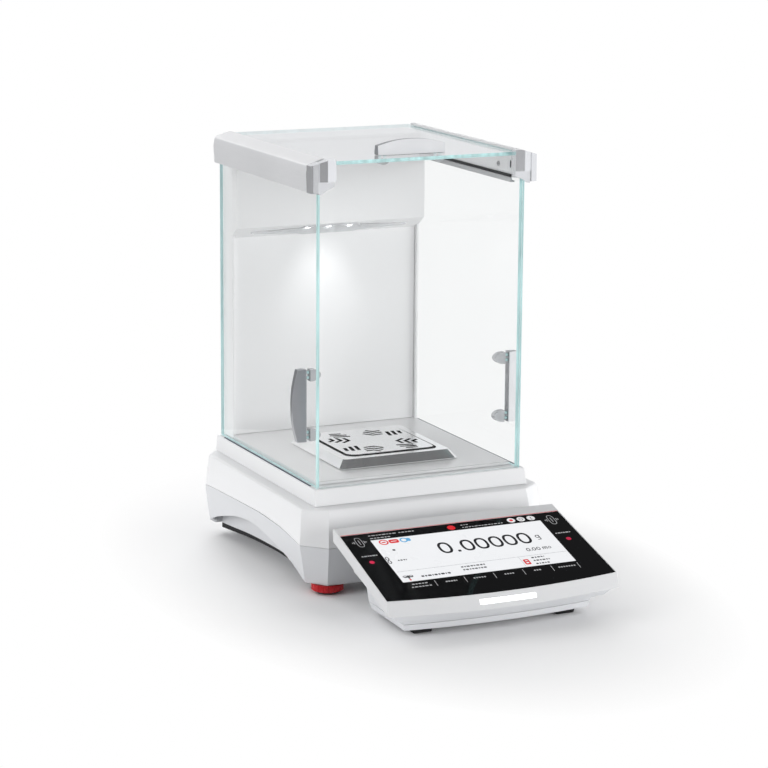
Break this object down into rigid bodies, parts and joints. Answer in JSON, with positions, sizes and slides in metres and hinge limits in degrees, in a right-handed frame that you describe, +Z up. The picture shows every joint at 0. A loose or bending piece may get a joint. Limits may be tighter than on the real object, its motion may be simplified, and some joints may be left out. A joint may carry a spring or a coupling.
{
  "type": "analytical balance",
  "caption": "Analytical balance with a glass draft shield, three sliding doors, a grid pan in a wind ring, levelling feet and a detachable touch terminal.",
  "frame": {"origin": "on the bench, at the middle of the footprint of the balance and its terminal", "axes": "+Z up, -Y towards the user (the terminal side), +X to the user's right"},
  "size_m": [0.231, 0.3937, 0.381],
  "materials": {
    "white_paint": "matt fine-textured white lacquer on die-cast alloy",
    "pale_paint": "matt light-grey lacquer",
    "rail_paint": "satin silver-grey anodised look",
    "brushed_steel": "satin stainless steel",
    "polished_steel": "bright satin stainless steel",
    "cast_alloy": "machined cast aluminium",
    "dark_plastic": "matt black moulding",
    "clear_glass": "clear float glass with a faint green-blue edge",
    "frosted_plastic": "translucent grey plastic",
    "red_plastic": "glossy dark-red moulding",
    "black_rubber": "matt black rubber",
    "circuit_board": "green solder mask",
    "black_glass": "gloss black cover glass",
    "screen": "lit white display",
    "light_guide": "frosted white light guide"
  },
  "bodies": {
    "base": {"lower_housing": "pale_paint", "upper_housing": "white_paint", "base_tub": "pale_paint", "base_casting": "cast_alloy", "load_cell": "cast_alloy", "pan_post": "brushed_steel", "calibration_weight": "polished_steel", "main_board": "circuit_board", "power_inlet": "dark_plastic", "data_port": "brushed_steel", "shield_plinth": "white_paint", "left_sill_strip": "dark_plastic", "right_sill_strip": "dark_plastic", "floor_plate": "brushed_steel", "rear_housing": "white_paint", "inner_panel": "white_paint", "lamp_lens": "frosted_plastic", "lamp_board": "circuit_board", "left_rail": "rail_paint", "right_rail": "rail_paint", "left_rail_cap": "polished_steel", "right_rail_cap": "polished_steel", "left_door_track": "brushed_steel", "right_door_track": "brushed_steel", "left_track_seal": "black_rubber", "right_track_seal": "black_rubber", "front_glass": "clear_glass", "left_rear_foot": "black_rubber", "right_rear_foot": "black_rubber", "hook_cover": "dark_plastic", "terminal_bracket": "dark_plastic"},
    "left_door": {"left_door_glass": "clear_glass", "left_door_hanger": "dark_plastic", "left_door_handle": "brushed_steel", "left_door_lower_lug": "frosted_plastic", "left_door_upper_lug": "frosted_plastic"},
    "right_door": {"right_door_glass": "clear_glass", "right_door_hanger": "dark_plastic", "right_door_handle": "brushed_steel", "right_door_lower_lug": "frosted_plastic", "right_door_upper_lug": "frosted_plastic"},
    "top_door": {"top_door_glass": "clear_glass", "top_door_handle": "brushed_steel", "top_door_left_lug": "frosted_plastic", "top_door_right_lug": "frosted_plastic"},
    "pan": {"weighing_pan": "polished_steel"},
    "ring": {"wind_ring": "polished_steel"},
    "left_foot": {"left_levelling_pad": "black_rubber"},
    "left_wheel": {"left_levelling_wheel": "red_plastic"},
    "right_foot": {"right_levelling_pad": "black_rubber"},
    "right_wheel": {"right_levelling_wheel": "red_plastic"},
    "terminal": {"terminal_top_case": "white_paint", "terminal_glass": "black_glass", "terminal_display": "screen", "terminal_light_bar": "light_guide", "terminal_board": "circuit_board", "terminal_bottom_case": "pale_paint", "terminal_base_cover": "pale_paint", "terminal_left_foot": "black_rubber", "terminal_right_foot": "black_rubber"}
  },
  "joints": [
    {"name": "left_door_slide", "type": "slide", "parent": "base", "child": "left_door", "axis": [0, 1, 0], "range_m": [0, 0.165]},
    {"name": "right_door_slide", "type": "slide", "parent": "base", "child": "right_door", "axis": [0, 1, 0], "range_m": [0, 0.165]},
    {"name": "top_door_slide", "type": "slide", "parent": "base", "child": "top_door", "axis": [0, 1, 0], "range_m": [0, 0.155]},
    {"name": "pan_lift", "type": "slide", "parent": "base", "child": "pan", "axis": [0, 0, 1], "range_m": [0, 0.06]},
    {"name": "ring_lift", "type": "slide", "parent": "base", "child": "ring", "axis": [0, 0, 1], "range_m": [0, 0.06]},
    {"name": "left_foot_lift", "type": "slide", "parent": "base", "child": "left_foot", "axis": [0, 0, -1], "range_m": [0, 0.006]},
    {"name": "left_wheel_turn", "type": "hinge", "parent": "left_foot", "child": "left_wheel", "pos_m": [-0.0891, -0.03265, 0.005], "axis": [0, 0, 1], "range_deg": [0, 1728]},
    {"name": "right_foot_lift", "type": "slide", "parent": "base", "child": "right_foot", "axis": [0, 0, -1], "range_m": [0, 0.006]},
    {"name": "right_wheel_turn", "type": "hinge", "parent": "right_foot", "child": "right_wheel", "pos_m": [0.0891, -0.03265, 0.005], "axis": [0, 0, 1], "range_deg": [0, 1728]},
    {"name": "terminal_draw", "type": "slide", "parent": "base", "child": "terminal", "axis": [0, -1, 0], "range_m": [0, 0.06]}
  ],
  "couplings": [
    {"joint": "left_foot_lift", "follows": "left_wheel_turn", "m_per_rad": 0.00019894},
    {"joint": "right_foot_lift", "follows": "right_wheel_turn", "m_per_rad": 0.00019894}
  ]
}
